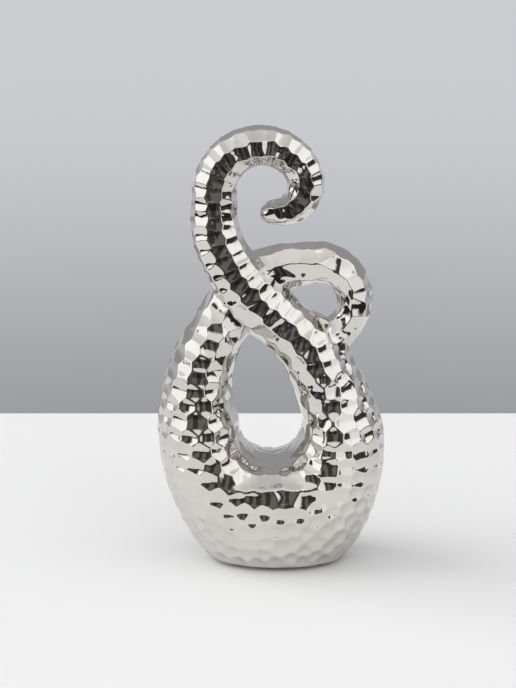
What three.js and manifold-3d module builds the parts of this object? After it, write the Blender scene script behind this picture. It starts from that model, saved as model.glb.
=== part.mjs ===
// A silver-plated ceramic sculpture: one tentacle that winds round a teardrop eye,
// crosses itself at the neck and ends in a large curl above and a small loop beside it.
// It is luted together from three hollow slip castings. A clay disc closes the pouring hole
// under the foot, and four felt pads carry the weight.
// Millimetres, +Z up. The front is -Y and the foot stands on z = 0, under the middle of the body.
import * as THREE from "three";
import { mergeVertices } from "three/addons/utils/BufferGeometryUtils.js";
import Module from "manifold-3d";

// Fits shared by the pieces
const JOINT_GAP = 0.3; // slip or glue between two pieces
const WALL = 4; // thickness of the cast walls
const FOOT_FLOOR = 5; // thickness of the body's floor above the foot

// Body: the heavy lower half of the tentacle, seen from the front
const EYE_RADIUS = 18; // half the width of the eye
const EYE_DROP = 19.7; // depth of the eye's round end below its widest level
const EYE_LEVEL = 82.5; // height of the eye's widest level
const EYE_X = -0.5; // the eye lies a little to the left
const BODY_HALF_WIDTH = 64;
const BODY_DROP = 91.7; // the flank's ellipse runs on below the foot, which cuts it flat
const BODY_LEVEL = 75; // height of the body's widest level
const BODY_LEAN = 4.5; // how far the underside lies to the right
const BELLY_DEPTH = 72; // front to back under the eye
const FLANK_DEPTH = 58; // front to back beside the eye
const BELLY_CREST = 0.77; // where the section is deepest, as a share from its outer edge
const FLANK_CREST = 0.6;
const CREST_BEND = 3; // power of the crest's dip from the flanks to the belly

// Right side above the body, going up into the front strand
const RIGHT_FLANK_X = 35.4;
const RIGHT_FLANK_Z = 96;
const RIGHT_FLANK_WIDTH = 40.6;
const RIGHT_FLANK_DEPTH = 50;
const RIGHT_SHOULDER_X = 20.6;
const RIGHT_SHOULDER_Z = 125;
const RIGHT_SHOULDER_WIDTH = 34;
const RIGHT_SHOULDER_DEPTH = 42;
const FRONT_NECK_X = 6.3;
const FRONT_NECK_Z = 140;
const FRONT_NECK_WIDTH = 31;
const FRONT_NECK_DEPTH = 32;

// Left side above the body, going up into the rear strand
const LEFT_FLANK_X = -41.9;
const LEFT_FLANK_Z = 97;
const LEFT_FLANK_WIDTH = 40.4;
const LEFT_FLANK_DEPTH = 50;
const LEFT_SHOULDER_X = -38.4;
const LEFT_SHOULDER_Z = 116.5;
const LEFT_SHOULDER_WIDTH = 36;
const LEFT_SHOULDER_DEPTH = 43;
const REAR_NECK_X = -29.2;
const REAR_NECK_Z = 136.3;
const REAR_NECK_WIDTH = 31.2;
const REAR_NECK_DEPTH = 38;

// Crossing at the neck, where the front strand lies over the rear one
const CROSSING_X = -13.5;
const CROSSING_Z = 159.5;
const STRAND_WIDTH = 28;
const STRAND_DEPTH = 24;
const STRAND_BITE = 11; // how far the front strand is saddled over the rear one
const NECK_LEAN = 0.4; // share of the crossing's offset that is left beside the crossing

// The strands above the crossing
const FRONT_RISE_X = -30;
const FRONT_RISE_Z = 188.5;
const FRONT_RISE_WIDTH = 26.8;
const FRONT_RISE_DEPTH = 24;
const REAR_RISE_X = 4.4;
const REAR_RISE_Z = 171;
const REAR_RISE_WIDTH = 24.5;
const REAR_RISE_DEPTH = 23;

// Large curl at the top
const CURL_X = -5.7;
const CURL_Z = 213.2;
const CURL_RADIUS = 25.9; // to the middle of the strand
const CURL_TIP_RADIUS = 12.3;
const CURL_START = 178; // degrees, measured from +X towards +Z
const CURL_END = -78;
const CURL_ROOT_WIDTH = 24;
const CURL_SIDE_WIDTH = 20.3; // where the hook towards the tip begins
const CURL_TIP_WIDTH = 10.2;
const CURL_HOOK = 0.59; // share of the turn where the curl tightens towards its tip
const CURL_TAPER = 0.72; // share of the turn where it starts to thin out towards its tip

// Small loop at the side
const LOOP_X = 25;
const LOOP_Z = 152.4;
const LOOP_RADIUS = 21.7;
const LOOP_START = 104;
const LOOP_END = -62;
const LOOP_ROOT_WIDTH = 23.5;
const LOOP_TIP_WIDTH = 17.5;
const LOOP_TUCK = 10; // how far the loop's end runs on into the shoulder that it is luted to

// Closing disc and pouring hole under the foot
const POUR_HOLE_DIAMETER = 26;
const DISC_LEDGE = 4; // width of the rebate that the disc is glued against
const DISC_THICKNESS = 2.4;
const VENT_DIAMETER = 6;

// Felt pads
const PAD_DIAMETER = 11;
const PAD_THICKNESS = 2;
const PAD_EDGE = 0.4; // chamfer round the lower edge
const PAD_INSET = 3.5; // from the foot's edge
const PAD_ANGLE = 40; // degrees round the foot from its long axis

// Facets
const OUTER_SIDES = 24;
const BORE_SIDES = 14;
const OUTER_STEP = 7;
const BORE_STEP = 11;
const ROUND_SIDES = 32;

const FOOT_LEVEL = PAD_THICKNESS + JOINT_GAP;
const FOOT_X = (BODY_LEAN * (BODY_LEVEL - FOOT_LEVEL)) / BODY_DROP; // the foot's middle
const DISC_DIAMETER = POUR_HOLE_DIAMETER + 2 * DISC_LEDGE;

const wasm = await Module();
wasm.setup();

const { lerp, smoothstep, degToRad } = THREE.MathUtils;
const point = (x, z) => new THREE.Vector2(x, z);

// A station of the tentacle, walked from the tip of the curl to the end of the loop.
// left and right are its two edges in the front view; crest is the share of the way from left
// to right where it is deepest; y is how far that place lies behind the middle plane.
function station(left, right, depth, crest = 0.5, y = 0) {
  return { left, right, depth, crest, y };
}

// A station known by its middle and width, which is later set square to the way it runs
function strandStation(x, z, width, depth, crest = 0.5, y = 0) {
  return { middle: point(x, z), width, depth, crest, y };
}

function middleOf(s) {
  return s.middle?.clone() ?? s.left.clone().lerp(s.right, 0.5);
}

// Sets a station square to the line from the one before it to the one after it
function squared(s, before, after) {
  const ahead = middleOf(after).sub(middleOf(before)).normalize();
  const toLeft = point(-ahead.y, ahead.x).multiplyScalar(s.width / 2);
  return station(s.middle.clone().add(toLeft), s.middle.clone().sub(toLeft), s.depth, s.crest, s.y);
}

// The curl, from its tip outwards: a turn that opens from the tip's radius to the full radius
function curlStations() {
  const count = 12;
  return Array.from({ length: count }, (_, i) => {
    const turn = 1 - i / (count - 1);
    const hook = smoothstep(turn, CURL_HOOK, 1);
    const radius = lerp(CURL_RADIUS, CURL_TIP_RADIUS, hook);
    const full = lerp(CURL_ROOT_WIDTH, CURL_SIDE_WIDTH, Math.min(turn / CURL_HOOK, 1));
    const taper = Math.max(turn - CURL_TAPER, 0) / (1 - CURL_TAPER);
    const width = lerp(full, CURL_TIP_WIDTH, taper ** 2);
    const angle = degToRad(lerp(CURL_START, CURL_END, turn));
    const out = point(Math.cos(angle), Math.sin(angle));
    const centre = point(CURL_X, CURL_Z);
    const inner = centre.clone().addScaledVector(out, radius - width / 2);
    const outer = centre.clone().addScaledVector(out, radius + width / 2);
    return station(inner, outer, width);
  });
}

// The body below the widest level, from the right flank under the eye to the left flank
function bodyStations() {
  const count = 9;
  return Array.from({ length: count }, (_, i) => {
    const angle = (-Math.PI * i) / (count - 1);
    const under = -Math.sin(angle);
    const outerX = BODY_LEAN * under + BODY_HALF_WIDTH * Math.cos(angle);
    const outer = point(outerX, BODY_LEVEL + BODY_DROP * Math.sin(angle));
    const inner = point(EYE_X + EYE_RADIUS * Math.cos(angle), EYE_LEVEL + EYE_DROP * Math.sin(angle));
    const depth = lerp(FLANK_DEPTH, BELLY_DEPTH, under);
    const crest = lerp(FLANK_CREST, BELLY_CREST, under ** CREST_BEND);
    return station(outer, inner, depth, crest);
  });
}

// The loop, from its top round to the end that is tucked into the right shoulder
function loopStations() {
  const count = 7;
  return Array.from({ length: count }, (_, i) => {
    const turn = i / (count - 1);
    const width = lerp(LOOP_ROOT_WIDTH, LOOP_TIP_WIDTH, turn);
    const angle = degToRad(lerp(LOOP_START, LOOP_END, turn));
    const out = point(Math.cos(angle), Math.sin(angle));
    const centre = point(LOOP_X, LOOP_Z);
    const outer = centre.clone().addScaledVector(out, LOOP_RADIUS + width / 2);
    const inner = centre.clone().addScaledVector(out, LOOP_RADIUS - width / 2);
    return station(outer, inner, width);
  });
}

const STRAND_OFFSET = (STRAND_DEPTH - STRAND_BITE) / 2;
const NECK_OFFSET = NECK_LEAN * STRAND_OFFSET;
const curl = curlStations();
const frontNeck = [
  strandStation(FRONT_RISE_X, FRONT_RISE_Z, FRONT_RISE_WIDTH, FRONT_RISE_DEPTH, 0.5, -NECK_OFFSET),
  strandStation(CROSSING_X, CROSSING_Z, STRAND_WIDTH, STRAND_DEPTH, 0.5, -STRAND_OFFSET),
  strandStation(FRONT_NECK_X, FRONT_NECK_Z, FRONT_NECK_WIDTH, FRONT_NECK_DEPTH, 0.5, -NECK_OFFSET),
  strandStation(RIGHT_SHOULDER_X, RIGHT_SHOULDER_Z, RIGHT_SHOULDER_WIDTH, RIGHT_SHOULDER_DEPTH),
  strandStation(RIGHT_FLANK_X, RIGHT_FLANK_Z, RIGHT_FLANK_WIDTH, RIGHT_FLANK_DEPTH, FLANK_CREST),
];
const body = bodyStations();
const rearNeck = [
  strandStation(LEFT_FLANK_X, LEFT_FLANK_Z, LEFT_FLANK_WIDTH, LEFT_FLANK_DEPTH, FLANK_CREST),
  strandStation(LEFT_SHOULDER_X, LEFT_SHOULDER_Z, LEFT_SHOULDER_WIDTH, LEFT_SHOULDER_DEPTH),
  strandStation(REAR_NECK_X, REAR_NECK_Z, REAR_NECK_WIDTH, REAR_NECK_DEPTH, 0.5, NECK_OFFSET),
  strandStation(CROSSING_X, CROSSING_Z, STRAND_WIDTH, STRAND_DEPTH, 0.5, STRAND_OFFSET),
  strandStation(REAR_RISE_X, REAR_RISE_Z, REAR_RISE_WIDTH, REAR_RISE_DEPTH, 0.5, NECK_OFFSET),
];
const loop = loopStations();
const loopEnd = degToRad(LOOP_END);
const tuckShift = point(Math.sin(loopEnd), -Math.cos(loopEnd)).multiplyScalar(LOOP_TUCK);
const tuck = station(
  loop.at(-1).left.clone().add(tuckShift),
  loop.at(-1).right.clone().add(tuckShift),
  LOOP_TIP_WIDTH,
);

const path = [...curl, ...frontNeck, ...body, ...rearNeck, ...loop, tuck];
const stations = path.map((s, i) => (s.middle ? squared(s, path[i - 1], path[i + 1]) : s));
const FRONT_SEAM = curl.length + 3; // the station on the right shoulder
const REAR_SEAM = curl.length + frontNeck.length + body.length + 1; // the one on the left shoulder
const LOOP_TOP = stations.length - 1 - loop.length;
const LAST = stations.length - 1;

// Smooth curves through the stations
const through = (place) => new THREE.CatmullRomCurve3(stations.map(place));
const leftEdge = through((s) => new THREE.Vector3(s.left.x, s.y, s.left.y));
const rightEdge = through((s) => new THREE.Vector3(s.right.x, s.y, s.right.y));
const profile = through((s) => new THREE.Vector3(s.depth, s.crest, 0));

// The section at a place along the tentacle, counted in stations
function sectionAt(place) {
  const t = place / LAST;
  const left = leftEdge.getPoint(t);
  const right = rightEdge.getPoint(t);
  const { x: depth, y: crest } = profile.getPoint(t);
  const width = left.distanceTo(right);
  const toRight = right.clone().sub(left).normalize();
  return {
    centre: left.clone().lerp(right, crest),
    toRight,
    leftHalf: width * crest,
    rightHalf: width * (1 - crest),
    halfDepth: depth / 2,
  };
}

// One row of points round a section, moved outwards by grow and turned by half a facet on odd rows
function rowAt(section, sides, grow, odd) {
  return Array.from({ length: sides }, (_, i) => {
    const angle = (2 * Math.PI * (i + (odd ? 0.5 : 0))) / sides;
    const across = Math.cos(angle);
    const half = (across > 0 ? section.rightHalf : section.leftHalf) + grow;
    const p = section.centre.clone().addScaledVector(section.toRight, half * across);
    p.y += (section.halfDepth + grow) * Math.sin(angle);
    return p;
  });
}

// Places along the tentacle about one step apart
function placesBetween(from, to, step) {
  const places = [from];
  const span = 0.01;
  let place = from;
  while (place < to) {
    const speed = sectionAt(place + span).centre.distanceTo(sectionAt(place).centre) / span;
    place += step / Math.max(speed, step);
    places.push(Math.min(place, to));
  }
  if (places.length > 2 && to - places.at(-2) < 0.4 * (places.at(-2) - places.at(-3))) {
    places.splice(-2, 1);
  }
  return places;
}

// Rows that round off the tip, ahead of the section where the tentacle starts
function tipRows(section, next, sides, grow) {
  const reach = section.halfDepth + grow;
  const ahead = section.centre.clone().sub(next.centre).normalize();
  return [75, 50, 25].map((angle, i) => {
    const shrink = Math.cos(degToRad(angle));
    const centre = section.centre.clone().addScaledVector(ahead, reach * Math.sin(degToRad(angle)));
    const row = rowAt({ ...section, centre }, sides, grow, i % 2 === 0);
    row.forEach((p) => p.sub(centre).multiplyScalar(shrink).add(centre));
    return row;
  });
}

// A closed solid through rows of points, as a geometry
function loft(rows) {
  const sides = rows[0].length;
  const middle = (row) => row.reduce((sum, p) => sum.add(p), new THREE.Vector3()).divideScalar(sides);
  const points = [...rows.flat(), middle(rows[0]), middle(rows.at(-1))];
  const first = rows.length * sides;
  const last = first + 1;
  const index = [];
  rows.slice(1).forEach((row, r) => {
    const odd = row.odd ? 0 : 1;
    for (let i = 0; i < sides; i++) {
      const j = (i + 1) % sides;
      const here = r * sides;
      const there = here + sides;
      if (odd) index.push(here + i, here + j, there + j, here + i, there + j, there + i);
      else index.push(here + i, here + j, there + i, here + j, there + j, there + i);
    }
  });
  const end = (rows.length - 1) * sides;
  for (let i = 0; i < sides; i++) {
    const j = (i + 1) % sides;
    index.push(first, j, i, last, end + i, end + j);
  }
  const geometry = new THREE.BufferGeometry().setFromPoints(points);
  return geometry.setIndex(index);
}

// A stretch of the tentacle as a solid, with its tip rounded where it starts at the curl's tip
function strand(from, to, { sides = OUTER_SIDES, step = OUTER_STEP, grow = 0, roundTip = false } = {}) {
  const places = placesBetween(from, to, step);
  const rows = places.map((place, i) => {
    const row = rowAt(sectionAt(place), sides, grow, i % 2 === 1);
    row.odd = i % 2 === 1;
    return row;
  });
  if (!roundTip) return solid(loft(rows));
  const tip = tipRows(sectionAt(from), sectionAt(places[1]), sides, grow);
  tip.forEach((row, i) => (row.odd = i % 2 === 0));
  return solid(loft([...tip, ...rows]));
}

// A manifold solid from a closed geometry
function solid(geometry) {
  const bare = geometry.clone();
  bare.deleteAttribute("normal");
  bare.deleteAttribute("uv");
  const merged = mergeVertices(bare, 1e-4);
  return new wasm.Manifold(
    new wasm.Mesh({
      numProp: 3,
      vertProperties: merged.attributes.position.array,
      triVerts: new Uint32Array(merged.index.array),
    }),
  );
}

// A geometry from a manifold solid
function geometryOf(manifold) {
  const mesh = manifold.getMesh();
  const geometry = new THREE.BufferGeometry();
  geometry.setAttribute("position", new THREE.BufferAttribute(mesh.vertProperties, 3));
  geometry.setIndex(new THREE.BufferAttribute(mesh.triVerts, 1));
  geometry.computeVertexNormals();
  return geometry;
}

// A solid turned about +Z from a closed outline of [radius, height] points
function turned(outline) {
  const closed = [...outline, outline[0]].map(([r, z]) => point(r, z));
  return new THREE.LatheGeometry(closed, ROUND_SIDES).rotateX(Math.PI / 2);
}

// An upright cylinder under the middle of the foot, from one height to another
function post(diameter, from, to) {
  const shape = new THREE.CylinderGeometry(diameter / 2, diameter / 2, to - from, ROUND_SIDES);
  return solid(shape.rotateX(Math.PI / 2).translate(FOOT_X, 0, (from + to) / 2));
}

// Everything below a height
function below(height) {
  const size = 4 * BODY_HALF_WIDTH;
  return solid(new THREE.BoxGeometry(size, size, size).translate(0, 0, height - size / 2));
}

// How far along the tentacle a length reaches at a place, counted in stations
function reach(length, place) {
  const span = 0.01;
  return (length * span) / sectionAt(place + span).centre.distanceTo(sectionAt(place).centre);
}

const bore = (from, to) => strand(from, to, { sides: BORE_SIDES, step: BORE_STEP, grow: -WALL });
const THROUGH = 0.2; // stations by which a bore runs on past an open end
const CURL_BORE_END = 2.7; // the curl is solid from here to its tip, counted in stations
const LOOP_BORE_END = LAST - 1.6;

// The front strand, from the curl's tip to the right shoulder
function frontTentacle() {
  const outer = strand(0, FRONT_SEAM - reach(JOINT_GAP, FRONT_SEAM), { roundTip: true });
  const rearStrand = strand(REAR_SEAM + 0.5, LOOP_TOP + 0.5, { grow: JOINT_GAP });
  return outer.subtract(bore(CURL_BORE_END, FRONT_SEAM + THROUGH)).subtract(rearStrand);
}

// The rear strand, from the left shoulder to the end of the loop
function rearTentacle() {
  const outer = strand(REAR_SEAM + reach(JOINT_GAP, REAR_SEAM), LAST);
  const shoulder = strand(FRONT_SEAM - 0.8, FRONT_SEAM + 0.8, { grow: JOINT_GAP });
  return outer.subtract(bore(REAR_SEAM - THROUGH, LOOP_BORE_END)).subtract(shoulder);
}

// The body between the two shoulders, with its flat foot and the pouring hole
function lowerBody() {
  const cavity = bore(FRONT_SEAM - THROUGH, REAR_SEAM + THROUGH).subtract(below(FOOT_LEVEL + FOOT_FLOOR));
  const hole = post(POUR_HOLE_DIAMETER, FOOT_LEVEL - FOOT_FLOOR, FOOT_LEVEL + 2 * FOOT_FLOOR);
  const rebateTop = FOOT_LEVEL + DISC_THICKNESS + JOINT_GAP;
  const rebate = post(DISC_DIAMETER + 2 * JOINT_GAP, FOOT_LEVEL - FOOT_FLOOR, rebateTop);
  const outer = strand(FRONT_SEAM, REAR_SEAM).subtract(below(FOOT_LEVEL));
  return outer.subtract(cavity).subtract(hole).subtract(rebate);
}

// The clay disc in the pouring hole's rebate, with its vent
function baseDisc() {
  const top = FOOT_LEVEL + DISC_THICKNESS;
  return turned([
    [VENT_DIAMETER / 2, FOOT_LEVEL],
    [DISC_DIAMETER / 2, FOOT_LEVEL],
    [DISC_DIAMETER / 2, top],
    [VENT_DIAMETER / 2, top],
  ]).translate(FOOT_X, 0, 0);
}

// A felt pad with a chamfered lower edge
function feltPad() {
  const radius = PAD_DIAMETER / 2;
  const outline = [
    [0, 0],
    [radius - PAD_EDGE, 0],
    [radius, PAD_EDGE],
    [radius, PAD_THICKNESS],
    [0, PAD_THICKNESS],
  ];
  return new THREE.LatheGeometry(outline.map(([r, z]) => point(r, z)), ROUND_SIDES).rotateX(Math.PI / 2);
}

const silver = new THREE.MeshStandardMaterial({ color: 0xd1cdc8, roughness: 0.06, metalness: 1 });
const bisque = new THREE.MeshStandardMaterial({ color: 0xe8e2d6, roughness: 0.9, metalness: 0 });
const felt = new THREE.MeshStandardMaterial({ color: 0x1d1c1b, roughness: 1, metalness: 0 });

function named(name, geometry, material) {
  const mesh = new THREE.Mesh(geometry, material);
  mesh.name = name;
  return mesh;
}

const sculpture = new THREE.Group();
sculpture.add(named("lower_body", geometryOf(lowerBody()), silver));
sculpture.add(named("front_tentacle", geometryOf(frontTentacle()), silver));
sculpture.add(named("rear_tentacle", geometryOf(rearTentacle()), silver));
sculpture.add(named("base_disc", baseDisc(), bisque));
// The pads stand on an oval inside the foot's edge
const bellyDrop = BELLY_CREST * (BODY_DROP - EYE_DROP + EYE_LEVEL - BODY_LEVEL);
const bellyLevel = BODY_LEVEL - BODY_DROP + bellyDrop;
const footX = BODY_HALF_WIDTH * Math.sqrt(1 - ((BODY_LEVEL - FOOT_LEVEL) / BODY_DROP) ** 2);
const footY = (BELLY_DEPTH / 2) * Math.sqrt(1 - ((bellyLevel - FOOT_LEVEL) / bellyDrop) ** 2);
const padX = (footX - PAD_INSET - PAD_DIAMETER / 2) * Math.cos(degToRad(PAD_ANGLE));
const padY = (footY - PAD_INSET - PAD_DIAMETER / 2) * Math.sin(degToRad(PAD_ANGLE));
for (const [row, rowSide] of [["front", -1], ["rear", 1]]) {
  for (const [column, columnSide] of [["left", -1], ["right", 1]]) {
    const pad = named(`felt_pad_${row}_${column}`, feltPad(), felt);
    pad.position.set(FOOT_X + columnSide * padX, rowSide * padY, 0);
    sculpture.add(pad);
  }
}

export default sculpture;
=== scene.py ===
"""Looks of a hammered, silver-plated ceramic tentacle sculpture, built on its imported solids.

The driving sizes repeat those of the solids, in millimetres. Meshes are written in metres.
"""

import bpy
import numpy as np
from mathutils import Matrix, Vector
from mathutils.kdtree import KDTree


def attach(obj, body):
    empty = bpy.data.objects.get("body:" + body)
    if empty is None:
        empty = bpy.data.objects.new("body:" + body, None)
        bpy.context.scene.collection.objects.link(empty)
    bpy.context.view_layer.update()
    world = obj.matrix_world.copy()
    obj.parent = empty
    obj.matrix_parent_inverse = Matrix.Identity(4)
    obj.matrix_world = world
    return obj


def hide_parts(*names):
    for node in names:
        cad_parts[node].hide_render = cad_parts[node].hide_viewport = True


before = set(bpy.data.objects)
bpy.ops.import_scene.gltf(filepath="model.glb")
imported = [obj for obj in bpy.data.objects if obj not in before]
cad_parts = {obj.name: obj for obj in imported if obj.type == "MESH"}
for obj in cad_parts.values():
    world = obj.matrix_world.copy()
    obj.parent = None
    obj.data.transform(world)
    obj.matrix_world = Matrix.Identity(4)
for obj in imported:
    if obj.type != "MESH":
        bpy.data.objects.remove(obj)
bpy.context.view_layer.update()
MM = 0.001

# Body
EYE_RADIUS = 18
EYE_DROP = 19.7
EYE_LEVEL = 82.5
EYE_X = -0.5
BODY_HALF_WIDTH = 64
BODY_DROP = 91.7
BODY_LEVEL = 75
BODY_LEAN = 4.5
BELLY_DEPTH = 72
FLANK_DEPTH = 58
BELLY_CREST = 0.77
FLANK_CREST = 0.6
CREST_BEND = 3
BODY_COUNT = 9

# Neck: x, z, width and depth of each place
RIGHT_FLANK = (35.4, 96, 40.6, 50)
RIGHT_SHOULDER = (20.6, 125, 34, 42)
FRONT_NECK = (6.3, 140, 31, 32)
LEFT_FLANK = (-41.9, 97, 40.4, 50)
LEFT_SHOULDER = (-38.4, 116.5, 36, 43)
REAR_NECK = (-29.2, 136.3, 31.2, 38)
CROSSING = (-13.5, 159.5, 28, 24)
FRONT_RISE = (-30, 188.5, 26.8, 24)
REAR_RISE = (4.4, 171, 24.5, 23)
STRAND_BITE = 11
NECK_LEAN = 0.4

# Curl and loop
CURL_CENTRE = (-5.7, 213.2)
CURL_RADIUS = 25.9
CURL_TIP_RADIUS = 12.3
CURL_START = 178
CURL_END = -78
CURL_ROOT_WIDTH = 24
CURL_SIDE_WIDTH = 20.3
CURL_TIP_WIDTH = 10.2
CURL_HOOK = 0.59
CURL_TAPER = 0.72
CURL_COUNT = 12
LOOP_CENTRE = (25, 152.4)
LOOP_RADIUS = 21.7
LOOP_START = 104
LOOP_END = -62
LOOP_ROOT_WIDTH = 23.5
LOOP_TIP_WIDTH = 17.5
LOOP_TUCK = 10
LOOP_COUNT = 7

# Foot and the recess for the closing disc
FOOT_LEVEL = 2.3
FOOT_EDGE = 0.9
RECESS_DIAMETER = 34.6
RECESS_DEPTH = 2.7
POUR_HOLE_DIAMETER = 26
POUR_HOLE_DEPTH = 12
FOOT_X = BODY_LEAN * (BODY_LEVEL - FOOT_LEVEL) / BODY_DROP
CUTTER_BOTTOM = -2
CUTTER_SIDES = 96

# Flutes on the limbs. A pair of radii is a bowl's bend along the tentacle and across it
CURL_COLUMNS = 9
RISE_COLUMNS = 10
LOOP_COLUMNS = 8
LIMB_PITCH = 7.8
TIP_COLUMNS = 6
TIP_PITCH = 5.6
TIP_START = 0.4
TIP_STOP = 3.0
TIP_RADIUS = 12
TIP_FADE = (-3, 12)
FACING_RADII = (15, 42)
FLUTE_RADII = (11.5, 42)
LOOP_FACING_RADII = (40, 45)
LOOP_RADII = (28, 45)
LOOP_TWIST = (0.34, 0.7)
LOOP_TWIST_SPAN = (0.5, 2.5)
FIRST_DIMPLE = 0.25
PITCH_SCATTER = 0.55
ANGLE_SCATTER = 0.05

# Rows and bowls on the body
BODY_PITCH = 9.6
ROW_LEVEL = 46.9  # height of the belly's dark row
ROW_RISE = 8.3
ROW_TOP = 110
ROW_OVERLAP = 0.4
ROW_SCATTER = 0.5
LEVEL_BAND = 0.35
BEARINGS = 90
FLANK_RADII = (15, 24)
FLANK_BAND = (0.3, 0.75)
ROW_RADII = (32, 30)
BELOW_RADII = (11.5, 14)
ABOVE_RADII = (26, 28)
CREST_BAND = (14, 22)
SHOULDER_COLUMNS = (-18, -9.8, -1.5, 7.2, 15)
BOWL_RADIUS = 10.3
INNER_RADIUS = 40
INNER_BAND = (0.75, 0.97)
FOOT_MARGIN = 1.5
CLEAR_SHARE = 0.55
HEXAGON_SHARE = 0.866
SPREAD_ROUNDS = 10

# How the bowls meet
HOLLOW_SHARE = 0.15
RIDGE_SOFTNESS = 0.08
RIDGE_LIMIT = 1.4
MEAN_SHIFT = 0.55
SHIFT_LIMITS = (-0.8, 0.9)
NORMAL_SCATTER = 0.035
RADIUS_SCATTER = 0.2
LEVEL_SCATTER = 0.06
BOWL_REACH = 20
BOWL_SPAN = 45  # along the tentacle
BOWL_FACING = 0.3
NO_BOWL = 9.0
BLOCK_POINTS = 1500
BLOCK_SPAN = 60
WAVE_COUNT = 40
WAVE_HEIGHT = 0.0016
WAVE_LENGTHS = (3.5, 8)
FILLET = 12
SWELL_SAMPLE = 1.2
SWELL_ROWS = 2
SWELL_COLUMNS = 3

# Mesh
SKIN_STEP = 0.62
SKIN_COLUMNS = 320
ROW_GRID_STEP = 0.5
ROW_GRID_COLUMNS = 264
SPREAD_GRID_STEP = 2.0
SPREAD_GRID_COLUMNS = 132
PATH_SAMPLES = 6001
ROW_SAMPLES = 4001
COLUMN_SAMPLES = 1500
TURN_SAMPLES = 361
TIP_ROWS = 16
TIP_MARGIN = 0.05
TIP_PROBE = 0.05
PROBE_STEP = 1e-3
SHARP_ANGLE = np.radians(55)
SEAM_MARGIN = 1e-4  # metres
SEAM_TOUCH = 1e-6  # metres
SEAM_FACING = 0.6
SHORTEST = 1e-4
TINY = 1e-9

rng = np.random.default_rng(11)


def smoothstep(x, low, high):
    t = np.clip((x - low) / (high - low), 0, 1)
    return t * t * (3 - 2 * t)


def lerp(a, b, t):
    return a + (b - a) * t


def unit(vectors):
    return vectors / np.linalg.norm(vectors, axis=1, keepdims=True)


def even_angles(count):
    return np.arange(count) * 2 * np.pi / count


# A station holds its left edge, right edge, depth, crest share and y, as in the solids
def ring_station(centre, angle, inner, outer, width, inner_is_left):
    out = np.array([np.cos(angle), np.sin(angle)])
    near = np.array(centre) + out * inner
    far = np.array(centre) + out * outer
    left, right = (near, far) if inner_is_left else (far, near)
    return [left, right, width, 0.5, 0.0]


def curl_stations():
    found = []
    for i in range(CURL_COUNT):
        turn = 1 - i / (CURL_COUNT - 1)
        hook = smoothstep(turn, CURL_HOOK, 1)
        radius = lerp(CURL_RADIUS, CURL_TIP_RADIUS, hook)
        full = lerp(CURL_ROOT_WIDTH, CURL_SIDE_WIDTH, min(turn / CURL_HOOK, 1))
        taper = max(turn - CURL_TAPER, 0) / (1 - CURL_TAPER)
        width = lerp(full, CURL_TIP_WIDTH, taper**2)
        angle = np.radians(lerp(CURL_START, CURL_END, turn))
        inner = radius - width / 2
        outer = radius + width / 2
        found.append(ring_station(CURL_CENTRE, angle, inner, outer, width, True))
    return found


def loop_stations():
    found = []
    for i in range(LOOP_COUNT):
        turn = i / (LOOP_COUNT - 1)
        width = lerp(LOOP_ROOT_WIDTH, LOOP_TIP_WIDTH, turn)
        angle = np.radians(lerp(LOOP_START, LOOP_END, turn))
        inner = LOOP_RADIUS - width / 2
        outer = LOOP_RADIUS + width / 2
        found.append(ring_station(LOOP_CENTRE, angle, inner, outer, width, False))
    return found


def body_stations():
    found = []
    for i in range(BODY_COUNT):
        angle = -np.pi * i / (BODY_COUNT - 1)
        under = -np.sin(angle)
        outer_x = BODY_LEAN * under + BODY_HALF_WIDTH * np.cos(angle)
        outer = np.array([outer_x, BODY_LEVEL + BODY_DROP * np.sin(angle)])
        inner_x = EYE_X + EYE_RADIUS * np.cos(angle)
        inner = np.array([inner_x, EYE_LEVEL + EYE_DROP * np.sin(angle)])
        depth = lerp(FLANK_DEPTH, BELLY_DEPTH, under)
        crest = lerp(FLANK_CREST, BELLY_CREST, under**CREST_BEND)
        found.append([outer, inner, depth, crest, 0.0])
    return found


def strand_station(place, crest=0.5, y=0.0):
    x, z, width, depth = place
    return {"middle": np.array([x, z], float), "width": width, "depth": depth, "crest": crest, "y": y}


def middle_of(s):
    return s["middle"] if isinstance(s, dict) else (s[0] + s[1]) / 2


def squared(s, before, after):
    """A strand's station, with its edges square to the way from the one before to the one after."""
    ahead = middle_of(after) - middle_of(before)
    ahead = ahead / np.linalg.norm(ahead)
    to_left = np.array([-ahead[1], ahead[0]]) * s["width"] / 2
    return [s["middle"] + to_left, s["middle"] - to_left, s["depth"], s["crest"], s["y"]]


def all_stations():
    """Every station from the curl's tip, down the right side, up the left one and round the loop."""
    offset = (CROSSING[3] - STRAND_BITE) / 2
    lean = NECK_LEAN * offset
    front = [
        strand_station(FRONT_RISE, y=-lean),
        strand_station(CROSSING, y=-offset),
        strand_station(FRONT_NECK, y=-lean),
        strand_station(RIGHT_SHOULDER),
        strand_station(RIGHT_FLANK, FLANK_CREST),
    ]
    rear = [
        strand_station(LEFT_FLANK, FLANK_CREST),
        strand_station(LEFT_SHOULDER),
        strand_station(REAR_NECK, y=lean),
        strand_station(CROSSING, y=offset),
        strand_station(REAR_RISE, y=lean),
    ]
    loop = loop_stations()
    end = np.radians(LOOP_END)
    shift = np.array([np.sin(end), -np.cos(end)]) * LOOP_TUCK
    tuck = [loop[-1][0] + shift, loop[-1][1] + shift, LOOP_TIP_WIDTH, 0.5, 0.0]
    path = curl_stations() + front + body_stations() + rear + loop + [tuck]
    found = []
    for i, s in enumerate(path):
        found.append(squared(s, path[i - 1], path[i + 1]) if isinstance(s, dict) else s)
    return found


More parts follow.
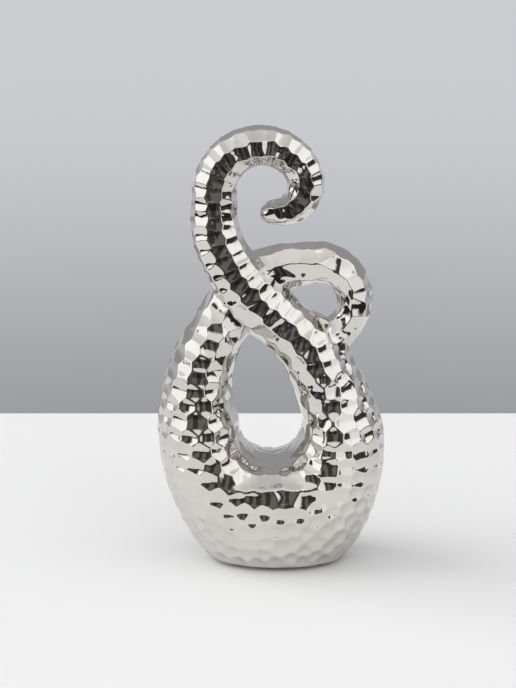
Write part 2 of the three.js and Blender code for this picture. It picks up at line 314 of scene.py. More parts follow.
# Places along the tentacle are counted in stations
STATIONS = all_stations()
LAST = len(STATIONS) - 1
FRONT_SEAM = CURL_COUNT + 3
REAR_SEAM = CURL_COUNT + 5 + BODY_COUNT + 1
LOOP_TOP = REAR_SEAM + 4
BELLY_PLACE = CURL_COUNT + 5 + BODY_COUNT // 2
RISE_STOP = FRONT_SEAM - 0.9
RIGHT_ROWS = FRONT_SEAM + 0.45
LEFT_ROWS = REAR_SEAM - 0.35
REAR_START = REAR_SEAM + 1.2
LEFT_EDGE = np.array([[s[0][0], s[4], s[0][1]] for s in STATIONS])
RIGHT_EDGE = np.array([[s[1][0], s[4], s[1][1]] for s in STATIONS])
PROFILE = np.array([[s[2], s[3], 0.0] for s in STATIONS])


def along(points, places):
    """Points of a centripetal Catmull-Rom curve at places counted in stations."""
    ends = np.vstack([2 * points[0] - points[1], points, 2 * points[-1] - points[-2]])
    segment = np.clip(np.floor(places).astype(int), 0, len(points) - 2)
    w = (places - segment)[:, None]
    p0, p1, p2, p3 = (ends[segment + i] for i in range(4))
    pairs = ((p0, p1), (p1, p2), (p2, p3))
    d0, d1, d2 = (np.sqrt(np.linalg.norm(b - a, axis=1))[:, None] for a, b in pairs)
    d1 = np.where(d1 < SHORTEST, 1, d1)
    d0 = np.where(d0 < SHORTEST, d1, d0)
    d2 = np.where(d2 < SHORTEST, d1, d2)
    t1 = ((p1 - p0) / d0 - (p2 - p0) / (d0 + d1) + (p2 - p1) / d1) * d1
    t2 = ((p2 - p1) / d1 - (p3 - p1) / (d1 + d2) + (p3 - p2) / d2) * d1
    c2 = -3 * p1 + 3 * p2 - 2 * t1 - t2
    c3 = 2 * p1 - 2 * p2 + t1 + t2
    return p1 + t1 * w + c2 * w**2 + c3 * w**3


def sections(places):
    """Centre, direction to the right edge, half widths and half depth at each place."""
    left = along(LEFT_EDGE, places)
    right = along(RIGHT_EDGE, places)
    profile = along(PROFILE, places)
    crest = profile[:, 1:2]
    width = np.linalg.norm(right - left, axis=1)[:, None]
    centre = lerp(left, right, crest)
    return centre, (right - left) / width, width * crest, width * (1 - crest), profile[:, :1] / 2


def skin(places, angles):
    """Points of the smooth skin, one for each place and angle."""
    centre, to_right, left_half, right_half, half_depth = (a[:, None] for a in sections(places))
    cosine = np.cos(angles)[:, :, None]
    points = centre + to_right * np.where(cosine > 0, right_half, left_half) * cosine
    points[:, :, 1:2] += half_depth * np.sin(angles)[:, :, None]
    return points


def skin_grid(places, columns):
    """The smooth skin as rows along and columns round, each row's columns at even angles."""
    return skin(places, np.broadcast_to(even_angles(columns), (len(places), columns)))


def grid_keys(places, columns):
    """Place and angle of each point of such a grid, row by row."""
    pairs = np.meshgrid(places, even_angles(columns), indexing="ij")
    return np.stack(pairs, axis=2).reshape(-1, 2)


def even_grid(places, columns):
    """The smooth skin as rows along and columns round, each row's columns evenly far apart."""
    turn = np.linspace(0, 2 * np.pi, TURN_SAMPLES)
    rough = skin(places, np.broadcast_to(turn, (len(places), len(turn))))
    share = np.arange(columns) / columns
    angles = []
    for row in rough:
        walked = steps(row)
        angles.append(np.interp(share * walked[-1], walked, turn))
    return skin(places, np.array(angles))


def steps(points):
    """Length walked along a row of points."""
    return np.concatenate([[0], np.cumsum(np.linalg.norm(np.diff(points, axis=0), axis=1))])


FINE = np.linspace(0, LAST, PATH_SAMPLES)
FINE_LENGTH = steps(sections(FINE)[0])


def length_at(places):
    return np.interp(places, FINE, FINE_LENGTH)


def rows_between(start, stop, step):
    """Places from start to stop whose edges lie at most one step apart."""
    fine = np.linspace(start, stop, ROW_SAMPLES)
    left = np.diff(steps(along(LEFT_EDGE, fine)))
    right = np.diff(steps(along(RIGHT_EDGE, fine)))
    walked = np.concatenate([[0], np.cumsum(np.maximum(left, right))])
    count = int(np.ceil(walked[-1] / step)) + 1
    return np.interp(np.linspace(0, walked[-1], count), walked, fine)


def cell_normals(grid):
    """Outward vectors at the points of a grid, twice as long as the area round each point."""
    round_about = np.roll(grid, -1, axis=1) - np.roll(grid, 1, axis=1)
    return np.cross(round_about, np.gradient(grid, axis=0))


def normals_of(grid):
    """Outward normals of a grid of rows along and columns round."""
    normal = cell_normals(grid)
    return normal / np.maximum(np.linalg.norm(normal, axis=2, keepdims=True), TINY)


def tree_of(points):
    tree = KDTree(len(points))
    for i, p in enumerate(points):
        tree.insert(p, i)
    tree.balance()
    return tree


# Dimples, each given by its place along the tentacle, its angle round it and its two bowl radii
FRONT_ANGLE = -np.pi / 2


def column(start, stop, angle_of, pitch, phase, radii):
    """Dimples at an even pitch along one column of the skin."""
    fine = np.linspace(start, stop, COLUMN_SAMPLES)
    walked = steps(skin(fine, angle_of(fine)[:, None])[:, 0])
    count = max(1, round(walked[-1] / pitch))
    lengths = (np.arange(count) + FIRST_DIMPLE + phase) * walked[-1] / count
    places = np.interp(lengths + rng.normal(0, PITCH_SCATTER, count), walked, fine)
    angles = angle_of(places) + rng.normal(0, ANGLE_SCATTER, count)
    return np.stack([places, angles, np.full(count, radii[0]), np.full(count, radii[1])], axis=1)


def straight(places):
    return np.zeros(len(places))


def loop_twist(places):
    """How far the loop's columns are turned, as a share of their spacing."""
    start, stop = LOOP_TWIST_SPAN
    return lerp(*LOOP_TWIST, smoothstep(places, LOOP_TOP + start, LOOP_TOP + stop))


def ring_columns(start, stop, count, pitch, facing_radii, radii, twist=straight):
    """Staggered columns of flutes round a strand, the middle one facing front but for its twist."""
    found = []
    for k in range(-(count // 2), (count + 1) // 2):
        def angle_of(places, k=k):
            return FRONT_ANGLE + (k + twist(places)) * 2 * np.pi / count
        own_radii = radii if k else facing_radii
        found.append(column(start, stop, angle_of, pitch, k % 2 / 2, own_radii))
    return np.vstack(found)


def shoulder_columns(start, stop):
    """Columns of flutes along the front crest of a shoulder, at set distances beside it."""
    found = []
    for k, reach in enumerate(SHOULDER_COLUMNS):
        def angle_of(places, reach=reach):
            left_half, right_half = sections(places)[2:4]
            return FRONT_ANGLE + reach / (right_half if reach > 0 else left_half)[:, 0]
        found.append(column(start, stop, angle_of, BODY_PITCH, k % 2 / 2, FLANK_RADII))
    return np.vstack(found)


def row_of_dimples(points, keys, phase):
    """Places and angles at an even pitch round one level loop of the skin, from its front on."""
    middle = (points.min(0) + points.max(0)) / 2
    bearing = np.arctan2(points[:, 0] - middle[0], middle[1] - points[:, 1])
    slot = np.minimum(((bearing / np.pi + 1) / 2 * BEARINGS).astype(int), BEARINGS - 1)
    held = np.bincount(slot, minlength=BEARINGS)
    if not held.all():
        return np.empty((0, 2))
    sums = [np.bincount(slot, points[:, i], BEARINGS) / held for i in range(3)]
    ring = np.stack(sums, axis=1)
    ring = np.vstack([ring, ring[:1]])
    walked = steps(ring)
    count = round(walked[-1] / BODY_PITCH)
    lengths = walked[np.argmin(ring[:, 1])] + (np.arange(count) + phase) * walked[-1] / count
    lengths = (lengths + rng.normal(0, ROW_SCATTER, count)) % walked[-1]
    tree = tree_of(points)
    spots = np.stack([np.interp(lengths, walked, ring[:, i]) for i in range(3)], axis=1)
    return keys[[tree.find(p)[1] for p in spots]]


def row_radii(spots, level):
    """Bowl radii of a row: long flutes near the crest, round bowls beside it, flat ones inside."""
    places, angles = spots.T
    left_half, right_half = (half[:, 0] for half in sections(places)[2:4])
    turn = (angles - FRONT_ANGLE + np.pi) % (2 * np.pi) - np.pi
    reach = np.abs(turn) * np.where(turn > 0, right_half, left_half)
    if level == ROW_LEVEL:
        belly = ROW_RADII
    else:
        belly = BELOW_RADII if level < ROW_LEVEL else ABOVE_RADII
    away = np.abs(places - BELLY_PLACE) / (BODY_COUNT // 2)
    flank = smoothstep(away, *FLANK_BAND)[:, None]
    crest = lerp(np.array(belly), np.array(FLANK_RADII), flank)
    radii = lerp(crest, BOWL_RADIUS, smoothstep(reach, *CREST_BAND)[:, None])
    return lerp(radii, INNER_RADIUS, smoothstep(np.cos(angles), *INNER_BAND)[:, None])


def level_rows(start, stop):
    """Level rows of dimples round the body and both flanks, each row staggered against the next."""
    places = rows_between(start, stop, ROW_GRID_STEP)
    points = skin_grid(places, ROW_GRID_COLUMNS).reshape(-1, 3)
    keys = grid_keys(places, ROW_GRID_COLUMNS)
    lowest = -int((ROW_LEVEL - FOOT_LEVEL) // ROW_RISE)
    found = []
    for j in range(lowest, int((ROW_TOP - ROW_LEVEL) // ROW_RISE) + 1):
        level = ROW_LEVEL + j * ROW_RISE
        near = np.abs(points[:, 2] - level) < LEVEL_BAND
        sides = [near]
        if level > EYE_LEVEL - EYE_DROP:
            sides = [near & (keys[:, 0] < BELLY_PLACE), near & (keys[:, 0] > BELLY_PLACE)]
        for side in sides:
            spots = row_of_dimples(points[side], keys[side], j % 2 / 2)
            found.append(np.hstack([spots, row_radii(spots, level)]))
    return np.vstack(found)


def spread_dimples(start, stop, fixed):
    """Evenly spread dimples over a stretch of the skin, clear of the fixed ones."""
    places = rows_between(start, stop, SPREAD_GRID_STEP)
    grid = skin_grid(places, SPREAD_GRID_COLUMNS)
    area = np.linalg.norm(cell_normals(grid), axis=2).ravel() / 2
    points = grid.reshape(-1, 3)
    keys = grid_keys(places, SPREAD_GRID_COLUMNS)
    above = points[:, 2] > FOOT_LEVEL + FOOT_MARGIN
    points, area, keys = points[above], area[above], keys[above]
    fixed_points = skin(fixed[:, 0], fixed[:, 1:2])[:, 0]
    nearest = np.full(len(points), np.inf)
    for p in fixed_points:
        nearest = np.minimum(nearest, ((points - p) ** 2).sum(1))
    free = nearest > (CLEAR_SHARE * BODY_PITCH) ** 2
    count = int(area[free].sum() / (HEXAGON_SHARE * BODY_PITCH**2))
    chosen = []
    for _ in range(count):
        best = int(np.argmax(nearest))
        chosen.append(best)
        nearest = np.minimum(nearest, ((points - points[best]) ** 2).sum(1))
    centres = points[chosen]
    for _ in range(SPREAD_ROUNDS):
        everything = np.vstack([centres, fixed_points])
        tree = tree_of(everything)
        owner = np.array([tree.find(p)[1] for p in points])
        weight = np.bincount(owner, area, len(everything))[: len(centres)]
        for axis in range(3):
            total = np.bincount(owner, area * points[:, axis], len(everything))[: len(centres)]
            mean = total / np.maximum(weight, TINY)
            centres[:, axis] = np.where(weight > 0, mean, centres[:, axis])
    tree = tree_of(points)
    found = keys[[tree.find(c)[1] for c in centres]]
    inner = smoothstep(np.cos(found[:, 1]), *INNER_BAND)
    radii = lerp(BOWL_RADIUS, INNER_RADIUS, inner)
    return np.column_stack([found, radii, radii])


def all_dimples():
    limb = (FACING_RADII, FLUTE_RADII)
    bend = (LOOP_FACING_RADII, LOOP_RADII)
    tip = ring_columns(TIP_START, TIP_STOP, TIP_COLUMNS, TIP_PITCH, *limb)
    curl = ring_columns(TIP_STOP, CURL_COUNT - 1, CURL_COLUMNS, LIMB_PITCH, *limb)
    rise = ring_columns(CURL_COUNT - 1, RISE_STOP, RISE_COLUMNS, LIMB_PITCH, *limb)
    rear = ring_columns(REAR_START, LAST, LOOP_COLUMNS, LIMB_PITCH, *bend, loop_twist)
    right = shoulder_columns(RISE_STOP, RIGHT_ROWS)
    left = shoulder_columns(LEFT_ROWS, REAR_START)
    rows = level_rows(RIGHT_ROWS - ROW_OVERLAP, LEFT_ROWS + ROW_OVERLAP)
    fixed = np.vstack([tip, curl, rise, rear, right, left, rows])
    return np.vstack([fixed, spread_dimples(RISE_STOP, REAR_START, fixed)])


def skin_frames(dimples):
    """Outward normal and onward direction of the smooth skin at each dimple."""
    place, angle = dimples[:, 0], dimples[:, 1:2]
    round_about = skin(place, angle + PROBE_STEP) - skin(place, angle - PROBE_STEP)
    after = skin(np.minimum(place + PROBE_STEP, LAST), angle)
    onward = after - skin(np.maximum(place - PROBE_STEP, 0), angle)
    return unit(np.cross(round_about, onward)[:, 0]), unit(onward[:, 0])


def tip_rows(first, second):
    """Rows that round off the end of the curl ahead of its first row, without a kink."""
    middle = first.mean(0)
    ahead = middle - second.mean(0)
    step = np.linalg.norm(ahead)
    ahead /= step
    reach = np.linalg.norm(first - middle, axis=1).mean()
    wider = np.linalg.norm(second - second.mean(0), axis=1).mean() - reach
    slope = np.arctan2(wider, step)
    rise = np.linspace(np.pi / 2 - TIP_MARGIN, slope + TIP_MARGIN, TIP_ROWS)[:, None, None]
    forward = ahead * reach * (np.sin(rise) - np.sin(slope)) / np.cos(slope)
    return middle + forward + (first - middle) * np.cos(rise) / np.cos(slope)


def with_tip(values, tip_value):
    """Values of all dimples, and of the one at the tip's end after them."""
    return np.concatenate([values, [tip_value]])


DIMPLES = all_dimples()
TIP_GRID = skin_grid(np.array([0, TIP_PROBE]), SKIN_COLUMNS)
TIP_END = tip_rows(*TIP_GRID)[0].mean(0)
SKIN_NORMALS, SKIN_ONWARD = skin_frames(DIMPLES)
TIP_AHEAD = unit(TIP_END[None] - TIP_GRID[0].mean(0))[0]
TILTED = unit(SKIN_NORMALS + rng.normal(0, NORMAL_SCATTER, SKIN_NORMALS.shape))
BOWL_CENTRES = with_tip(skin(DIMPLES[:, 0], DIMPLES[:, 1:2])[:, 0], TIP_END)
BOWL_LENGTHS = with_tip(length_at(DIMPLES[:, 0]), 0.0)
BOWL_NORMALS = with_tip(TILTED, TIP_AHEAD)
BOWL_ONWARD = with_tip(SKIN_ONWARD, np.array([0.0, 1.0, 0.0]))
BOWL_RADII = with_tip(DIMPLES[:, 2:], np.full(2, TIP_RADIUS))
BOWL_BENDS = 0.5 / (BOWL_RADII * np.exp(rng.normal(0, RADIUS_SCATTER, (len(BOWL_RADII), 1))))
BOWL_LEVELS = rng.normal(0, LEVEL_SCATTER, len(BOWL_RADII))
WAVE_WAYS = unit(rng.normal(0, 1, (WAVE_COUNT, 3)))
WAVE_TURNS = WAVE_WAYS * 2 * np.pi / rng.uniform(*WAVE_LENGTHS, (WAVE_COUNT, 1))
WAVE_STARTS = rng.uniform(0, 2 * np.pi, WAVE_COUNT)


def hammered(points, normals, own):
    """How far each point moves along its normal: shallow bowls that meet in soft ridges."""
    shift = np.zeros(len(points))
    for block in np.array_split(np.arange(len(points)), max(1, len(points) // BLOCK_POINTS)):
        near = np.abs(BOWL_LENGTHS - own[block].mean()) < BLOCK_SPAN
        away = points[block][:, None, :] - BOWL_CENTRES[near][None]
        height = (away * BOWL_NORMALS[near][None]).sum(2)
        onward = (away * BOWL_ONWARD[near][None]).sum(2)
        distance = (away**2).sum(2)
        sideways = np.maximum(distance - height**2 - onward**2, 0)
        drop = np.where(height < 0, height, HOLLOW_SHARE * height)
        bends = BOWL_BENDS[near]
        bowl = onward**2 * bends[:, 0] + sideways * bends[:, 1] - drop + BOWL_LEVELS[near]
        facing = normals[block] @ BOWL_NORMALS[near].T > BOWL_FACING
        close = np.abs(own[block][:, None] - BOWL_LENGTHS[near][None]) < BOWL_SPAN
        bowl = np.where(facing & close & (distance < BOWL_REACH**2), bowl, NO_BOWL)
        bowl = np.column_stack([bowl, np.full(len(bowl), RIDGE_LIMIT)])
        low = bowl.min(1)
        total = np.exp(-(bowl - low[:, None]) / RIDGE_SOFTNESS).sum(1)
        shift[block] = low - RIDGE_SOFTNESS * np.log(total)
    return np.clip(shift - MEAN_SHIFT, *SHIFT_LIMITS)


def waves(points):
    """The faint unevenness of the glaze, as a sum of random ripples."""
    total = np.zeros(len(points))
    for turn, start in zip(WAVE_TURNS, WAVE_STARTS):
        total += np.sin(points @ turn + start)
    return total * WAVE_HEIGHT


def softened(field):
    """A grid field averaged with its neighbours, closed round the columns."""
    field = (np.roll(field, 1, 1) + 2 * field + np.roll(field, -1, 1)) / 4
    padded = np.vstack([field[:1], field, field[-1:]])
    return (padded[:-2] + 2 * padded[1:-1] + padded[2:]) / 4


def swell(grid, other, other_normals):
    """Outward shift that rounds out the groove where a strand runs into another one."""
    points = grid.reshape(-1, 3)
    others = other[::SWELL_ROWS, ::SWELL_COLUMNS].reshape(-1, 3)
    facing = other_normals[::SWELL_ROWS, ::SWELL_COLUMNS].reshape(-1, 3)
    tree = tree_of(others)
    shift = np.zeros(len(points))
    inside = (points > others.min(0) - FILLET) & (points < others.max(0) + FILLET)
    for i in np.nonzero(inside.all(1))[0]:
        j, distance = tree.find(points[i])[1:]
        if distance < 2 * FILLET:
            gap = float(np.dot(points[i] - others[j], facing[j]))
            aside = np.sqrt(max(distance**2 - gap**2, 0))
            apart = np.hypot(max(gap, 0), max(aside - SWELL_SAMPLE, 0))
            shift[i] = max(FILLET - apart, 0) ** 2 / (4 * FILLET)
    return shift.reshape(grid.shape[:2])


def tentacle():
    """The hammered skin of the whole tentacle, and the rows of its two seams."""
    parts = [
        rows_between(0, FRONT_SEAM, SKIN_STEP),
        rows_between(FRONT_SEAM, REAR_SEAM, SKIN_STEP)[1:],
        rows_between(REAR_SEAM, LAST, SKIN_STEP)[1:],
    ]
    places = np.concatenate(parts)
    grid = even_grid(places, SKIN_COLUMNS)
    tip = tip_rows(grid[0], grid[1])
    grid = np.vstack([tip, grid])
    own = np.concatenate([np.zeros(len(tip)), length_at(places)])
    normals = normals_of(grid)
    every = np.repeat(own, SKIN_COLUMNS)
    points = grid.reshape(-1, 3)
    shift = hammered(points, normals.reshape(-1, 3), every) + waves(points)
    shift = softened(shift.reshape(grid.shape[:2])) * smoothstep(own, *TIP_FADE)[:, None]
    front_row = len(tip) + len(parts[0]) - 1
    rear_row = front_row + len(parts[1])
    belly_row = len(tip) + int(np.searchsorted(places, BELLY_PLACE))
    shift[:belly_row] += swell(grid[:belly_row], grid[rear_row:], normals[rear_row:])
    shift[rear_row:] += swell(grid[rear_row:], grid[:belly_row], normals[:belly_row])
    moved = grid + normals * shift[:, :, None]
    over = moved[:, :, 2] - FOOT_LEVEL
    moved[:, :, 2] = FOOT_LEVEL + (over + np.sqrt(over**2 + FOOT_EDGE**2)) / 2
    return moved, front_row, rear_row


def mesh_object(name, grid):
    """A closed mesh from a grid: quads between the rows and a fan at each end."""
    rows, columns = grid.shape[:2]
    ends = np.array([grid[0].mean(0), grid[-1].mean(0)])
    points = np.vstack([grid.reshape(-1, 3), ends]) * MM
    here = np.arange((rows - 1) * columns).reshape(rows - 1, columns)
    there = here + columns
    corners = [here, np.roll(here, -1, 1), np.roll(there, -1, 1), there]
    quads = np.stack(corners, axis=2).reshape(-1, 4)
    ring = np.arange(columns)
    first = np.stack([np.full(columns, rows * columns), np.roll(ring, -1), ring], axis=1)
    tail = ring + (rows - 1) * columns
    last = np.stack([np.full(columns, rows * columns + 1), tail, np.roll(tail, -1)], axis=1)
    mesh = bpy.data.meshes.new(name)
    mesh.from_pydata(points.tolist(), [], quads.tolist() + first.tolist() + last.tolist())
    mesh.shade_smooth()
    mesh.set_sharp_from_angle(angle=SHARP_ANGLE)
    piece = bpy.data.objects.new(name, mesh)
    bpy.context.scene.collection.objects.link(piece)
    return piece


def cut(piece, cutter):
    """Take the cutter's solid out of a piece."""
    modifier = piece.modifiers.new("recess", "BOOLEAN")
    modifier.operation = "DIFFERENCE"
    modifier.solver = "MANIFOLD"
    modifier.object = cutter
    graph = bpy.context.evaluated_depsgraph_get()
    mesh = bpy.data.meshes.new_from_object(piece.evaluated_get(graph))
    piece.modifiers.clear()
    piece.data = mesh
    mesh.set_sharp_from_angle(angle=SHARP_ANGLE)
    bpy.data.objects.remove(cutter)


def foot_cutter():
    """A stepped round plug: the disc's seat and the pouring hole above it."""
    seat = (FOOT_LEVEL + RECESS_DEPTH, RECESS_DIAMETER / 2)
    hole = (FOOT_LEVEL + POUR_HOLE_DEPTH, POUR_HOLE_DIAMETER / 2)
    outline = [(CUTTER_BOTTOM, seat[1]), seat, (seat[0], hole[1]), hole]
    angles = even_angles(CUTTER_SIDES)
    rows = []
    for z, r in outline:
        x = FOOT_X + r * np.cos(angles)
        rows.append(np.stack([x, r * np.sin(angles), np.full(CUTTER_SIDES, z)], 1))
    return mesh_object("foot_cutter", np.array(rows))


def join_seam(piece, ring, ring_normals):
    """Give the side faces at a seam the normals of the whole tentacle, so that no line shows."""
    mesh = piece.data
    count = len(mesh.loops)
    normals = np.empty(count * 3, np.float32)
    mesh.corner_normals.foreach_get("vector", normals)
    normals = normals.reshape(-1, 3)
    owner = np.empty(count, np.int32)
    mesh.loops.foreach_get("vertex_index", owner)
    points = np.empty(len(mesh.vertices) * 3, np.float32)
    mesh.vertices.foreach_get("co", points)
    points = points.reshape(-1, 3)
    tree = tree_of(ring * MM)
    wanted = {}
    low = ring.min(0) * MM - SEAM_MARGIN
    high = ring.max(0) * MM + SEAM_MARGIN
    for i in np.nonzero(((points > low) & (points < high)).all(1))[0]:
        j, distance = tree.find(points[i])[1:]
        if distance < SEAM_TOUCH:
            wanted[i] = ring_normals[j]
    for loop in np.nonzero(np.isin(owner, list(wanted)))[0]:
        normal = wanted[owner[loop]]
        if np.dot(normal, normals[loop]) > SEAM_FACING:
            normals[loop] = normal
    mesh.normals_split_custom_set(normals.tolist())


def place_piece(piece, node, material):
    piece.data.materials.clear()
    piece.data.materials.append(material)
    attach(piece, "root")
    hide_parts(node)


# Materials
SILVER = (0.7, 0.68, 0.649, 1)
TARNISHED = (0.65, 0.628, 0.592, 1)
HAZE = (0.035, 0.075)
PALE_CLAY = (0.80, 0.75, 0.68, 1)
STAINED_CLAY = (0.70, 0.64, 0.56, 1)
FELT_GROUND = (0.012, 0.012, 0.012, 1)
FELT_FIBRE = (0.05, 0.048, 0.045, 1)
FLOOR_PALE = (0.88, 0.88, 0.882, 1)
FLOOR_GREY = (0.85, 0.85, 0.852, 1)


class Nodes:
    """Short calls for building a node tree."""

    def __init__(self, tree):
        self.tree = tree
        tree.nodes.clear()

    def add(self, kind, inputs=None, **settings):
        node = self.tree.nodes.new(kind)
        for name, value in settings.items():
            setattr(node, name, value)
        for key, value in (inputs or {}).items():
            self.feed(node.inputs[key], value)
        return node

    def feed(self, socket, value):
        if isinstance(value, bpy.types.NodeSocket):
            self.tree.links.new(value, socket)
        else:
            socket.default_value = value

    def math(self, operation, a, b=0.0):
        return self.add("ShaderNodeMath", {0: a, 1: b}, operation=operation).outputs[0]

    def ramp(self, value, low, high, to_low=0.0, to_high=1.0):
        inputs = {
            "Value": value,
            "From Min": low,
            "From Max": high,
            "To Min": to_low,
            "To Max": to_high,
        }
        node = self.add("ShaderNodeMapRange", inputs, interpolation_type="SMOOTHSTEP")
        return node.outputs["Result"]

    def noise(self, vector, scale, detail, roughness=0.5):
        inputs = {"Vector": vector, "Scale": scale, "Detail": detail, "Roughness": roughness}
        return self.add("ShaderNodeTexNoise", inputs).outputs["Fac"]

    def bump(self, height, strength, distance):
        inputs = {"Height": height, "Strength": strength, "Distance": distance}
        return self.add("ShaderNodeBump", inputs).outputs["Normal"]

    def mix(self, factor, a, b):
        node = self.add("ShaderNodeMix", data_type="RGBA")
        for key, value in (("Factor", factor), ("A", a), ("B", b)):
            self.feed(next(s for s in node.inputs if s.name == key and s.enabled), value)
        return next(s for s in node.outputs if s.enabled)


def new_material(name):
    material = bpy.data.materials.new(name)
    material.use_nodes = True
    n = Nodes(material.node_tree)
    return material, n, n.add("ShaderNodeTexCoord").outputs["Object"]


def finish_material(n, inputs):
    shader = n.add("ShaderNodeBsdfPrincipled", inputs)
    n.add("ShaderNodeOutputMaterial", {"Surface": shader.outputs[0]})


def silver_material():
    """Bright plating over glaze: a little warm, with faint tarnish, haze and an uneven glaze."""
    material, n, where = new_material("silver_plating")
    tarnish = n.ramp(n.noise(where, scale=28.0, detail=4.0), low=0.42, high=0.72)
    haze = n.ramp(n.noise(where, scale=90.0, detail=3.0), 0.3, 0.75, *HAZE)
    glaze = n.noise(where, scale=260.0, detail=2.0)
    finish_material(n, {
        "Base Color": n.mix(tarnish, SILVER, TARNISHED),
        "Metallic": 1.0,
        "Roughness": haze,
        "Normal": n.bump(glaze, strength=0.04, distance=0.0006),
    })
    return material


def bisque_material():
    """Unglazed fired clay, chalky with fine grog."""
    material, n, where = new_material("bisque_clay")
    stain = n.ramp(n.noise(where, scale=60.0, detail=3.0), low=0.35, high=0.7)
    grog = n.noise(where, scale=900.0, detail=4.0)
    finish_material(n, {
        "Base Color": n.mix(stain, PALE_CLAY, STAINED_CLAY),
        "Roughness": 0.88,
        "Normal": n.bump(grog, strength=0.5, distance=0.0003),
    })
    return material


def felt_material():
    """Pressed dark felt with matted fibres."""
    material, n, where = new_material("dark_felt")
    fibre = n.noise(where, scale=1800.0, detail=6.0, roughness=0.7)
    finish_material(n, {
        "Base Color": n.mix(fibre, FELT_GROUND, FELT_FIBRE),
        "Roughness": 0.95,
        "Sheen Weight": 0.4,
        "Normal": n.bump(fibre, strength=0.8, distance=0.0004),
    })
    return material


def floor_material():
    """Plain matt white floor."""
    material, n, where = new_material("studio_floor")
    finish_material(n, {
        "Base Color": n.mix(n.noise(where, scale=3.0, detail=2.0), FLOOR_GREY, FLOOR_PALE),
        "Roughness": 0.6,
    })
    return material


# Castings
moved, front_row, rear_row = tentacle()
moved_normals = normals_of(moved)
silver = silver_material()
front_piece = mesh_object("front_tentacle_skin", moved[: front_row + 1])
body_piece = mesh_object("lower_body_skin", moved[front_row : rear_row + 1])
rear_piece = mesh_object("rear_tentacle_skin", moved[rear_row:])
cut(body_piece, foot_cutter())
for row, pair in ((front_row, (front_piece, body_piece)), (rear_row, (body_piece, rear_piece))):
    for piece in pair:
        join_seam(piece, moved[row], moved_normals[row])
place_piece(front_piece, "front_tentacle", silver)
place_piece(body_piece, "lower_body", silver)
place_piece(rear_piece, "rear_tentacle", silver)

# Disc and pads, which keep their solids
finishes = {"base_disc": bisque_material(), "felt_pad": felt_material()}
for name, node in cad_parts.items():
    for start, material in finishes.items():
        if name.startswith(start):
            node.data.materials.clear()
            node.data.materials.append(material)

# Stage, in metres
FLOOR_LEFT = -1.2
FLOOR_RIGHT = 1.4
FLOOR_FRONT = -0.3
FLOOR_BACK = 0.291
FLOOR = [
    (FLOOR_LEFT, FLOOR_FRONT, 0),
    (FLOOR_RIGHT, FLOOR_FRONT, 0),
    (FLOOR_RIGHT, FLOOR_BACK, 0),
    (FLOOR_LEFT, FLOOR_BACK, 0),
]
floor = bpy.data.meshes.new("floor")
floor.from_pydata(FLOOR, [], [(0, 1, 2, 3)])
floor.materials.append(floor_material())
floor_piece = bpy.data.objects.new("floor", floor)
bpy.context.scene.collection.objects.link(floor_piece)

# Studio round the stage. Angles are in degrees: azimuth from the front to the right, and elevation
BACKDROP_LOW = (0.29, 0.295, 0.305, 1)
BACKDROP_MIDDLE = (0.60, 0.605, 0.632, 1)
BACKDROP_HIGH = (0.38, 0.385, 0.40, 1)
BACKDROP_RISE = (-20.0, -4.0)
BACKDROP_FALL = (0.0, 14.0)
BACKDROP_START = (112.0, 120.0)
DARK_LOW = (0.022, 0.021, 0.02, 1)
DARK_HIGH = (0.05, 0.047, 0.044, 1)
GREY_LOW = (0.072, 0.069, 0.066, 1)
GREY_HIGH = (0.165, 0.155, 0.145, 1)
FRONT_LEVEL = (-8.0, -1.0)
FRONT_TOP = (23.0, 29.0)
GREY_BARS = ((-36.0, -25.0), (-15.0, -4.0), (6.0, 13.0))
BAR_EDGE = 1.2
OVERHEAD_LOW = (0.94, 0.94, 0.935, 1)
OVERHEAD_HIGH = (0.66, 0.66, 0.66, 1)
OVERHEAD_FADE = (40.0, 80.0)
RIGHT_PANELS = ((21.0, 50.0, -14.0, 48.0), (50.0, 92.0, 11.0, 48.0))
RIGHT_PANEL_EDGE = 2.5
RIGHT_PANEL_LOW = (1.02, 1.02, 1.01, 1)
RIGHT_PANEL_HIGH = (1.26, 1.26, 1.25, 1)
RIGHT_PANEL_FADE = (5.0, 25.0)
LEFT_PANEL = (-125.0, -50.0, -3.0, 32.0)
LEFT_PANEL_EDGE = 3.0
LEFT_PANEL_COLOUR = (1.36, 1.36, 1.36, 1)


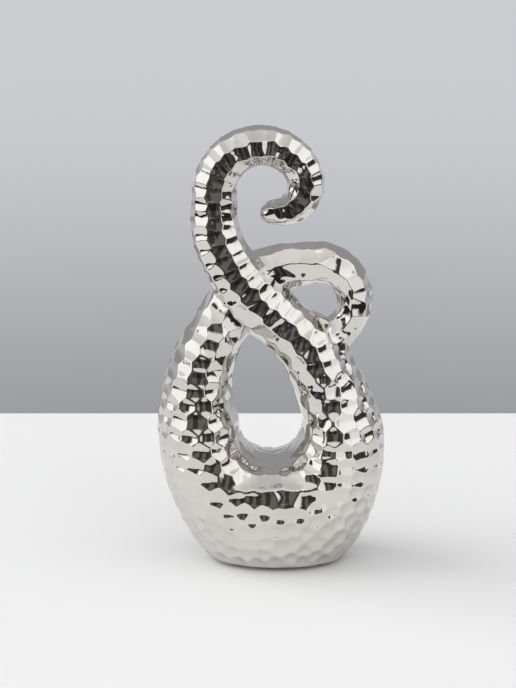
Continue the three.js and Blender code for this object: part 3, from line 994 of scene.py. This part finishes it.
def studio_world():
    """A studio seen in the plating: dim in front, pale above, panels beside, a grey backdrop."""
    world = bpy.data.worlds.new("studio")
    world.use_nodes = True
    bpy.context.scene.world = world
    n = Nodes(world.node_tree)
    direction = n.add("ShaderNodeTexCoord").outputs["Generated"]
    x, y, z = n.add("ShaderNodeSeparateXYZ", {0: direction}).outputs
    to_front = n.math("MULTIPLY", y, -1.0)
    azimuth = n.math("DEGREES", n.math("ARCTAN2", x, to_front))
    elevation = n.math("DEGREES", n.math("ARCSINE", z))
    overhead_turn = n.math("DEGREES", n.math("ARCTAN2", z, to_front))

    def between(value, low, high, edge):
        rise = n.ramp(value, low - edge, low + edge)
        return n.math("MULTIPLY", rise, n.ramp(value, high - edge, high + edge, 1.0, 0.0))

    def panel(west, east, low, high, edge):
        across = between(azimuth, west, east, edge)
        return n.math("MULTIPLY", across, between(elevation, low, high, edge))

    bars = 0.0
    for west, east in GREY_BARS:
        bars = n.math("MAXIMUM", bars, between(azimuth, west, east, BAR_EDGE))
    level = n.ramp(elevation, *FRONT_LEVEL)
    front = n.mix(bars, n.mix(level, DARK_LOW, DARK_HIGH), n.mix(level, GREY_LOW, GREY_HIGH))
    overhead = n.mix(n.ramp(elevation, *OVERHEAD_FADE), OVERHEAD_LOW, OVERHEAD_HIGH)
    seen = n.mix(n.ramp(elevation, *FRONT_TOP), front, overhead)
    pale = n.mix(n.ramp(elevation, *RIGHT_PANEL_FADE), RIGHT_PANEL_LOW, RIGHT_PANEL_HIGH)
    for edges in RIGHT_PANELS:
        seen = n.mix(panel(*edges, RIGHT_PANEL_EDGE), seen, pale)
    backdrop = n.mix(n.ramp(elevation, *BACKDROP_RISE), BACKDROP_LOW, BACKDROP_MIDDLE)
    backdrop = n.mix(n.ramp(elevation, *BACKDROP_FALL), backdrop, BACKDROP_HIGH)
    behind = n.ramp(n.math("ABSOLUTE", overhead_turn), *BACKDROP_START)
    seen = n.mix(behind, seen, backdrop)
    seen = n.mix(panel(*LEFT_PANEL, LEFT_PANEL_EDGE), seen, LEFT_PANEL_COLOUR)
    rays = n.add("ShaderNodeLightPath").outputs
    mirrored = n.math("MAXIMUM", rays["Is Glossy Ray"], rays["Is Transmission Ray"])
    plain = n.math("MAXIMUM", rays["Is Camera Ray"], n.math("MULTIPLY", mirrored, behind))
    colour = n.mix(plain, seen, backdrop)
    background = n.add("ShaderNodeBackground", {"Color": colour, "Strength": 1.0})
    n.add("ShaderNodeOutputWorld", {"Surface": background.outputs[0]})


def soft_lamp(name, place, aim, size, power):
    """A square lamp that lights the stage and isn't seen itself."""
    lamp = bpy.data.lights.new(name, "AREA")
    lamp.size = size
    lamp.energy = power
    holder = bpy.data.objects.new(name, lamp)
    bpy.context.scene.collection.objects.link(holder)
    holder.location = place
    holder.rotation_euler = (Vector(aim) - Vector(place)).to_track_quat("-Z", "Y").to_euler()
    holder.visible_camera = False
    holder.visible_glossy = False


studio_world()
soft_lamp("key", place=(-6.3, 0.9, 4.65), aim=(0, 0, 0.05), size=6.0, power=265)
soft_lamp("fill", place=(0, -0.3, 1.8), aim=(0, 0, 0), size=2.5, power=5)

# Camera at the photograph's viewing angle, in metres and degrees
SENSOR = 36
PICTURE_HEIGHT = 688
FOCAL_PIXELS = 1590.7
CAMERA_PLACE = (-0.00752, -0.87327, 0.34481)
CAMERA_DIP = 14
camera = bpy.data.cameras.new("camera")
camera.sensor_fit = "VERTICAL"
camera.sensor_height = SENSOR
camera.lens = SENSOR * FOCAL_PIXELS / PICTURE_HEIGHT
holder = bpy.data.objects.new("camera", camera)
holder.location = CAMERA_PLACE
holder.rotation_euler = (np.radians(90 - CAMERA_DIP), 0, 0)
bpy.context.scene.collection.objects.link(holder)
bpy.context.scene.camera = holder
bpy.context.scene.view_settings.view_transform = "Standard"
